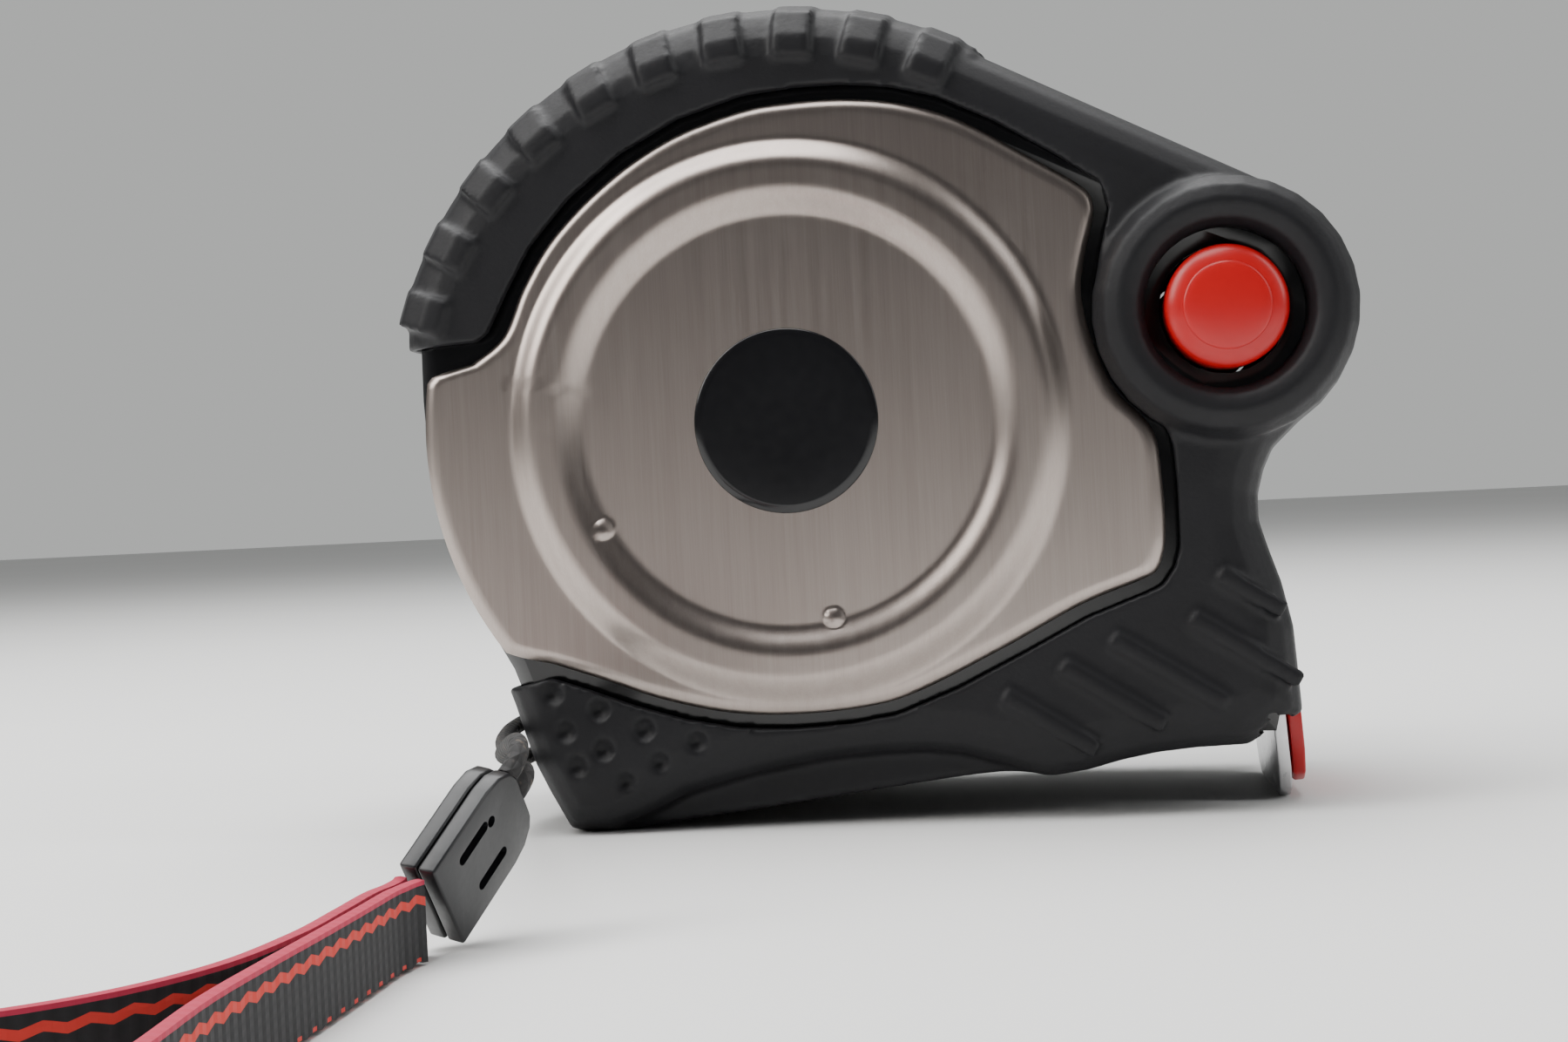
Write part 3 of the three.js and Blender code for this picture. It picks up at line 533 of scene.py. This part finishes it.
def sweep(name, run, section, closing_mark, material, start_side):
    """Runs a closed section along a line, as part of the case's lanyard.

    The map 'run' holds the length along the line and each section point's mark, which ends at
    closing_mark where the section closes on its first point.
    """
    vertices, lengths = [], [0.0]
    side = Vector(start_side)
    for i, point in enumerate(run):
        forward = (run[min(i + 1, len(run) - 1)] - run[max(i - 1, 0)]).normalized()
        side = (side - forward * side.dot(forward)).normalized()
        other = forward.cross(side)
        vertices += [point + side * a + other * b for a, b, _ in section(lengths[-1])]
        if i + 1 < len(run):
            lengths.append(lengths[-1] + (run[i + 1] - point).length)
    marks = [mark for _, _, mark in section(0.0)]
    next_marks = marks[1:] + [closing_mark]
    count = len(marks)
    faces, maps = [], []
    for i in range(len(run) - 1):
        for k in range(count):
            a, b = i * count + k, i * count + (k + 1) % count
            faces.append((a, b, b + count, a + count))
            maps += [(lengths[i], marks[k]), (lengths[i], next_marks[k])]
            maps += [(lengths[i + 1], next_marks[k]), (lengths[i + 1], marks[k])]
    faces.append(tuple(reversed(range(count))))
    faces.append(tuple(range((len(run) - 1) * count, len(run) * count)))
    maps += [(0, mark) for mark in reversed(marks)] + [(lengths[-1], mark) for mark in marks]
    piece = mesh_piece(name, vertices, faces, material, "case")
    layer = piece.data.uv_layers.new(name="run")
    for loop, value in zip(layer.data, maps):
        loop.uv = value
    only(piece)
    bpy.ops.object.mode_set(mode="EDIT")
    bpy.ops.mesh.select_all(action="SELECT")
    bpy.ops.mesh.normals_make_consistent(inside=False)
    bpy.ops.object.mode_set(mode="OBJECT")
    smooth(piece, 60)
    return piece


# ------------------------------------------------------------------ lanyard
PIN_RADIUS = 0.9
FIT_GAP = 0.3
CORD_RADIUS = 0.75
CORD_SIDES = 16
STRAND_STEPS = 8
STRAP_STEPS = 14
STRAP_WIDTH = 5.5
STRAP_THICKNESS = 0.9
STRAP_COLUMNS = 8
SCALLOP_DEPTH = 0.22
SCALLOP_PITCH = 2.5
SELVEDGE_BULGE = 1.03
WRAP_ANGLES = (-66, -33, 0, 45)
STRAP_ROUTE = [
    (-20, -78.2, 2.9), (-20.3, -79.4, 2.9), (-20.5, -81, 2.9), (-20.7, -83, 2.9), (-20.8, -89, 2.9),
    (-21, -97, 2.9), (-21.3, -106, 2.9), (-21.4, -115, 2.9), (-20.8, -125, 2.9), (-20.4, -136, 2.9),
    (-22.5, -147, 2.9), (-29.5, -155.5, 2.9), (-40, -159, 2.9), (-51, -157, 2.9), (-60, -150.5, 2.9),
    (-64, -141, 2.9), (-62, -131, 2.9), (-54.5, -124.5, 2.9), (-45, -122, 2.9), (-36, -119, 2.9),
    (-28.5, -113.5, 2.9), (-24.1, -106, 2.9), (-22.4, -97, 2.9), (-22.1, -89, 2.9), (-22, -83, 2.9),
    (-21.7, -79, 2.8), (-21.3, -77.2, 3), (-21.1, -76.5, 3.3),
]
UPPER_STRAND = [
    (-26.3, -0.3, 10.3), (-28, -2.2, 9.9), (-28.7, -6, 9.6), (-28.8, -12, 9.3), (-28, -18, 9.2),
    (-26.8, -24, 9.2), (-24.6, -32, 9.4), (-22.2, -42, 10), (-20, -52, 11.2), (-17.6, -59.5, 12.6),
    (-16.1, -64, 13.2), (-15.4, -66.8, 12.8), (-15.5, -68.1, 12), (-15.9, -68.9, 11.3),
]
LOWER_STRAND = [
    (-26, -0.3, 6.8), (-27.8, -2.2, 6.3), (-28.6, -6, 6.1), (-28.6, -12, 6), (-27.6, -18, 6.2),
    (-26, -24, 6.5), (-24.2, -32, 7), (-22.2, -41, 7.8), (-20.2, -50, 8.9), (-17.8, -58, 10.4),
    (-16.2, -62.5, 11.1), (-15.4, -65.2, 11), (-15.4, -66.7, 10.4), (-15.8, -67.5, 9.7),
]
CLASP_MOUTH = (-19.9, -75.6, 3.5)
CLASP_ALONG = Vector((0.369, 0.678, 0.634)).normalized()
CLASP_FACE = Vector((0.066, 0.66, -0.747)).cross(CLASP_ALONG).normalized()
CLASP_ACROSS = CLASP_FACE.cross(CLASP_ALONG)
CLASP_LENGTH, CLASP_WIDTH, CLASP_THICKNESS = 10.6, 7.8, 2.9
CLASP_SEAM_HALF = 0.06
CLASP_TAPER_START = 0.7 * CLASP_LENGTH
CLASP_END_HALF = 0.42 * CLASP_WIDTH / 2
# Each slot's place along and across the clasp, half length and half width. The last one is a round hole.
CLASP_SLOTS = [(5.2, -1.7, 1.9, 0.42), (4.4, 1.9, 1.9, 0.42), (6.7, 1.6, 0.42, 0.42)]
SLOT_DEPTH = 0.7
SLOT_OVERSHOOT = 0.5
SLOT_SIDES = 24


def cord_section(_length):
    """A ring of points, the same all along the cord."""
    ring = []
    for k in range(CORD_SIDES):
        angle = 2 * math.pi * k / CORD_SIDES
        ring.append((CORD_RADIUS * MM * math.cos(angle), CORD_RADIUS * MM * math.sin(angle), k / CORD_SIDES))
    return ring


def strap_section(length):
    """Webbing seen end on: flat faces, round selvedges and a scalloped lower edge."""
    scallop = SCALLOP_DEPTH * abs(math.sin(length / MM * math.pi / SCALLOP_PITCH))
    high, half_thickness = STRAP_WIDTH / 2 * MM, STRAP_THICKNESS / 2 * MM
    low = high - scallop * MM
    shares = [k / STRAP_COLUMNS for k in range(STRAP_COLUMNS + 1)]
    face = [(-low + (high + low) * share, half_thickness, share) for share in shares]
    back = [(a, -b, mark) for a, b, mark in reversed(face)]
    return face + [(high * SELVEDGE_BULGE, 0, 1.0)] + back + [(-low * SELVEDGE_BULGE, 0, 0.0)]


def add_strand(name, start, route, braid, start_side):
    """One braided strand, from its start at the pin through its route to the clasp."""
    run = catmull(start + [on_floor(*point) for point in route], STRAND_STEPS)
    strand = sweep("braided_cord_" + name, run, cord_section, 1.0, braid, start_side)
    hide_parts("lanyard_cord_" + name)
    return strand, run


def add_lanyard(braid, webbing, nylon):
    low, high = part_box("lanyard_pin")
    pin = Vector(((low.x + high.x) / 2, SEAM_Y, (low.z + high.z) / 2))
    reach = (PIN_RADIUS + FIT_GAP + CORD_RADIUS) * MM
    wrap = [pin + Vector((math.cos(a), 0, math.sin(a))) * reach for a in map(math.radians, WRAP_ANGLES)]
    over_pin, under_pin = pin + Vector((0, 0, reach)), pin - Vector((0, 0, reach))
    upper, upper_run = add_strand("upper", wrap + [over_pin], UPPER_STRAND, braid, (0, 1, 0))
    lower, lower_run = add_strand("lower", [under_pin], LOWER_STRAND, braid, (0, 0.3, 1))
    strap_run = catmull([on_floor(*point) for point in STRAP_ROUTE], STRAP_STEPS)
    strap = sweep("woven_wrist_strap", strap_run, strap_section, 0.0, webbing, (0, 0, 1))
    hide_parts("wrist_strap")
    halves = [add_clasp_half(side, nylon) for side in ("front", "back")]


def clasp_point(along, across, out):
    mouth = on_floor(*CLASP_MOUTH)
    return mouth + (CLASP_ALONG * along + CLASP_ACROSS * across + CLASP_FACE * out) * MM


def clasp_outline():
    """Straight sides from the mouth, then a rounded taper to the cord's end."""
    side, taper = CLASP_WIDTH / 2, CLASP_LENGTH - CLASP_TAPER_START
    half = [(0, -side), (CLASP_TAPER_START, -side)]
    for angle in (0.5, 1.0, 1.4):
        inward = 0.55 * side * (1 - math.cos(angle))
        half.append((CLASP_TAPER_START + taper * math.sin(angle), inward - side))
    half.append((CLASP_LENGTH, -CLASP_END_HALF))
    return half + [(along, -across) for along, across in reversed(half)]


def add_clasp_half(name, material):
    """A tapered shell with two long slots and a small round hole in its broad face."""
    out = 1 if name == "front" else -1
    points = [clasp_point(along, across, out * CLASP_SEAM_HALF) for along, across in clasp_outline()]
    wall = CLASP_FACE * (out * (CLASP_THICKNESS / 2 - CLASP_SEAM_HALF) * MM)
    half = extruded_piece("clasp_%s_shell" % name, points, wall)
    dress(half, material, "case")
    apply_modifier(half, "BEVEL", width=0.22 * MM, segments=3, limit_method="ANGLE",
                   angle_limit=math.radians(40))
    for slot in CLASP_SLOTS:
        cut_slot(half, *slot, out)
    smooth(half, 35)
    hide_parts("clasp_%s_half" % name)
    return half


def cut_slot(half, along, across, half_length, half_width, out):
    """Takes a round-ended pocket out of the clasp's broad face."""
    floor = CLASP_THICKNESS / 2 - SLOT_DEPTH
    points = []
    for k in range(SLOT_SIDES):
        angle = 2 * math.pi * k / SLOT_SIDES
        shift = (half_length - half_width) * (1 if math.cos(angle) > 0 else -1)
        a = along + shift + half_width * math.cos(angle)
        b = across + half_width * math.sin(angle)
        points.append(clasp_point(a, b, out * floor))
    cutter = extruded_piece("slot_cutter", points, CLASP_FACE * (out * (SLOT_DEPTH + SLOT_OVERSHOOT) * MM))
    apply_modifier(half, "BOOLEAN", object=cutter, operation="DIFFERENCE", solver="EXACT")
    bpy.data.objects.remove(cutter)


# ------------------------------------------------------------------ side plates
PLATE_FRONT = 19.9
SHEET_THICKNESS = 0.45
PLATE_RIM = 33.4
FIELD_HEIGHT, RING_HEIGHT = 0.3, 1.3
RING_RISE, RING_FALL = (18.6, 21.3), (23.1, 25.8)
PIPS = [(-17.8, -8.1), (2.5, -18.3)]
PIP_HEIGHT, PIP_RADIUS, PIP_REGION = 0.4, 0.72, 21
ROLL_DROP, ROLL_WIDTH = 0.45, 0.9
CENTRE_RADIUS = 0.4
PLATE_RINGS, PLATE_SPOKES = 84, 480
PLATE_LOWER = [
    (-24, -19.5), (-19, -21.6), (-14, -23.8), (-8, -25.6), (-2.4, -26.3), (4, -26.3), (9.1, -25.4),
    (17.3, -22.2), (24.6, -19), (30.2, -17.3), (31.6, -16.6), (32.4, -14.6),
]
PLATE_FORE = [
    (32.7, -9.6), (32.6, -5.6), (31.8, -3.6), (29.4, -0.6), (27.8, 4.2), (27.3, 8.9), (28.3, 13),
]
PLATE_UPPER = [
    (29.2, 15.8), (28.6, 17.6), (24, 21), (18.2, 25), (13.5, 27), (9.1, 28), (4, 28.4), (-1.2, 28.2),
    (-7.9, 26.5), (-13.9, 23.4), (-19.2, 19.2), (-22.6, 14.9), (-25.1, 10.4), (-28.6, 8),
]


def plate_edge():
    """The plate's outline in case millimetres, anticlockwise from the top of its rear edge."""
    rear = arc(PLATE_RIM, 167.5, 213, 24)
    return rear + flat_curve(PLATE_LOWER) + flat_curve(PLATE_FORE) + flat_curve(PLATE_UPPER)


def blend_step(value, start, end):
    t = min(max((value - start) / (end - start), 0.0), 1.0)
    return t * t * (3 - 2 * t)


def plate_height(x, z):
    """The flat field, the stamped ring round it and the two pips, over the plate's flange."""
    radius = math.hypot(x, z)
    height = FIELD_HEIGHT + (RING_HEIGHT - FIELD_HEIGHT) * blend_step(radius, *RING_RISE)
    height -= RING_HEIGHT * blend_step(radius, *RING_FALL)
    if radius < PIP_REGION:
        for px, pz in PIPS:
            height += PIP_HEIGHT * math.exp(-((math.hypot(x - px, z - pz) / PIP_RADIUS) ** 4))
    return height


def plate_reach(angles):
    """How far the plate's edge is from the reel axis in each direction."""
    turn = 2 * math.pi
    edge = sorted((math.atan2(z, x) % turn, math.hypot(x, z)) for x, z in plate_edge())
    edge = [(edge[-1][0] - turn, edge[-1][1])] + edge + [(edge[0][0] + turn, edge[0][1])]
    reach, k = [], 0
    for angle in angles:
        while edge[k + 1][0] < angle:
            k += 1
        (angle_0, radius_0), (angle_1, radius_1) = edge[k], edge[k + 1]
        reach.append(radius_0 + (radius_1 - radius_0) * (angle - angle_0) / max(angle_1 - angle_0, 1e-9))
    return reach


def add_plate(name, steel):
    """A stamped sheet: rings of points from the centre out to the outline, given a thickness."""
    side, spokes = SIDES[name], PLATE_SPOKES
    angles = [2 * math.pi * i / spokes for i in range(spokes)]
    reach = plate_reach(angles)
    vertices, faces = [], []
    for ring in range(PLATE_RINGS + 1):
        share = ring / PLATE_RINGS
        for angle, edge in zip(angles, reach):
            radius = CENTRE_RADIUS + (edge - CENTRE_RADIUS) * share
            x, z = radius * math.cos(angle), radius * math.sin(angle)
            near_edge = 1 - min((edge - radius) / ROLL_WIDTH, 1.0)
            roll = ROLL_DROP * (1 - math.sqrt(1 - near_edge ** 2))
            vertices.append(place(x, side * (PLATE_FRONT + plate_height(x, z) - roll), z))
    for ring in range(PLATE_RINGS):
        for i in range(spokes):
            a, b = ring * spokes + i, ring * spokes + (i + 1) % spokes
            faces.append((a, b, b + spokes, a + spokes) if side < 0 else (b, a, a + spokes, b + spokes))
    faces.append(tuple(reversed(range(spokes))) if side < 0 else tuple(range(spokes)))
    plate = mesh_piece(name + "_stamped_plate", vertices, faces, steel, "case")
    apply_modifier(plate, "SOLIDIFY", thickness=SHEET_THICKNESS * MM, offset=-1)
    smooth(plate, 50)
    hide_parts(name + "_face_plate")


# ------------------------------------------------------------------ rubber grip
DIMPLES = [(-20, -24.5), (-16, -26.7), (-11.3, -28.3), (-20, -28.2), (-14.9, -29.9), (-18.2, -31.4),
           (-24.2, -22.6), (-23.4, -26.2), (-22.6, -29.5)]
DIMPLE_BALL_RADIUS = 1.2
DIMPLE_BALL_Y = 21.0
# The shoulder's section, as distances from the reel axis and from the seam, and its two ends in degrees.
SHOULDER = [(34.6, 13.5), (38.25, 13.5), (38.25, 15.6), (37.95, 17.0), (37.1, 18.6), (35.6, 19.8),
            (34.6, 19.8)]
SHOULDER_START, SHOULDER_END = 57, 157.5
SHOULDER_STEPS = 60
GRIP_VOXEL = 0.36


def add_grip(name, rubber):
    """The CAD grip, with its shoulder filled out, its foot dimpled and all its edges softened."""
    side = SIDES[name]
    grip = copy_of(name + "_rubber_grip", name + "_moulded_grip")
    press_dimples(grip, side)
    fill_shoulder(grip, side)
    apply_modifier(grip, "REMESH", mode="VOXEL", voxel_size=GRIP_VOXEL * MM, use_smooth_shade=True)
    apply_modifier(grip, "SMOOTH", factor=0.4, iterations=2)
    smooth(grip, 60)
    dress(grip, rubber, "case")
    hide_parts(name + "_rubber_grip")


def press_dimples(grip, side):
    """Takes a shallow cap of a ball out of the foot at each dimple."""
    balls = []
    for x, z in DIMPLES:
        bpy.ops.mesh.primitive_uv_sphere_add(segments=16, ring_count=10, radius=DIMPLE_BALL_RADIUS * MM,
                                             location=place(x, side * DIMPLE_BALL_Y, z))
        balls.append(bpy.context.object)
    only(balls[0])
    for ball in balls:
        ball.select_set(True)
    bpy.ops.object.join()
    apply_modifier(grip, "BOOLEAN", object=balls[0], operation="DIFFERENCE", solver="EXACT")
    bpy.data.objects.remove(balls[0])


def fill_shoulder(grip, side):
    """Brings the tread's shoulder out between the lugs, so that they stand a little proud of it."""
    start = math.radians(SHOULDER_START)
    section = [place(r * math.cos(start), side * y, r * math.sin(start)) for r, y in SHOULDER]
    shoulder = filled_outline("shoulder", section)
    bpy.ops.mesh.spin(steps=SHOULDER_STEPS, angle=math.radians(SHOULDER_END - SHOULDER_START),
                      center=place(0, 0, 0), axis=(0, 1, 0))
    bpy.ops.object.mode_set(mode="OBJECT")
    tidy_normals(shoulder)
    only(grip)
    shoulder.select_set(True)
    bpy.ops.object.join()


# ------------------------------------------------------------------ lock button and label
CAP_RADIUS = 5.45
CAP_FACE = {"left": 24, "right": 21}
CAP_LENGTH = 6.5
DOME_RADIUS = 3.9
DOME_HEIGHT = 0.55
DOME_STEPS = 14
LABEL_RADIUS = 8.4


def add_lock_cap(name, red):
    """A round cap with a rolled edge and a low dome. Its profile is drawn from the back to the tip."""
    r, face = CAP_RADIUS, CAP_FACE[name]
    rim = [(0, face - CAP_LENGTH), (r, face - CAP_LENGTH), (r, face - 1.75), (r - 0.08, face - 1.45),
           (r - 0.3, face - 1.15), (r - 0.75, face - 0.85), (r - 1.2, face - 0.66)]
    angles = [math.pi / 2 * i / DOME_STEPS for i in range(DOME_STEPS + 1)]
    dome = [(DOME_RADIUS * math.cos(a), face - DOME_HEIGHT + DOME_HEIGHT * math.sin(a)) for a in angles]
    cap = turned_piece(name + "_button", rim + dome, BOSS, SIDES[name], red, "lock_button")
    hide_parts(name + "_lock_cap")


def add_label(material):
    """A blank sticker with a rounded edge and a faint hollow in the middle."""
    r, top = LABEL_RADIUS, LABEL_FACE_Y
    profile = [(0, top - 0.3), (r, top - 0.3), (r, top - 0.12), (r - 0.12, top), (r - 0.8, top + 0.02),
               (4.0, top - 0.03), (0, top - 0.05)]
    label = turned_piece("blank_label", profile, (0, 0), SIDES["left"], material, "case", 96)
    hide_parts("left_label_disc")


# ------------------------------------------------------------------ assembly
def finish_nodes(finishes):
    """Gives every CAD node the finish that its slot names."""
    slots = {entry["node"]: entry["material_slot"] for entry in frame["record"]["subparts"]}
    for node, piece in nodes.items():
        piece.data.materials.clear()
        piece.data.materials.append(finishes[slots[node]])


def main():
    add_camera()
    add_floor()
    add_lights()
    add_room()
    finishes = {
        "rubber": rubber_finish(), "gloss": gloss_finish(), "steel": brushed_steel(),
        "label": label_finish(), "red": red_plastic(), "nylon": nylon_finish(), "blade": blade_paint(),
        "zinc": plated_steel(), "spring_steel": plated_steel("spring_steel", (0.33, 0.34, 0.36)),
        "webbing": braid_finish(),
    }
    finish_nodes(finishes)
    add_lanyard(finishes["webbing"], webbing_finish(), finishes["nylon"])
    for name in SIDES:
        add_plate(name, finishes["steel"])
        add_grip(name, finishes["rubber"])
        add_lock_cap(name, finishes["red"])
        rounded_copy(name + "_case_half", finishes["gloss"], "case", 0.25)
    add_label(finishes["label"])
    rounded_copy("end_hook", finishes["zinc"], "hook", 0.2)
    rounded_copy("hook_pad", finishes["red"], "hook", 0.3, 3)
    rounded_copy("belt_clip", finishes["zinc"], "case", 0.2)
    rounded_copy("mouth_bumper", finishes["rubber"], "case", 0.3)


main()
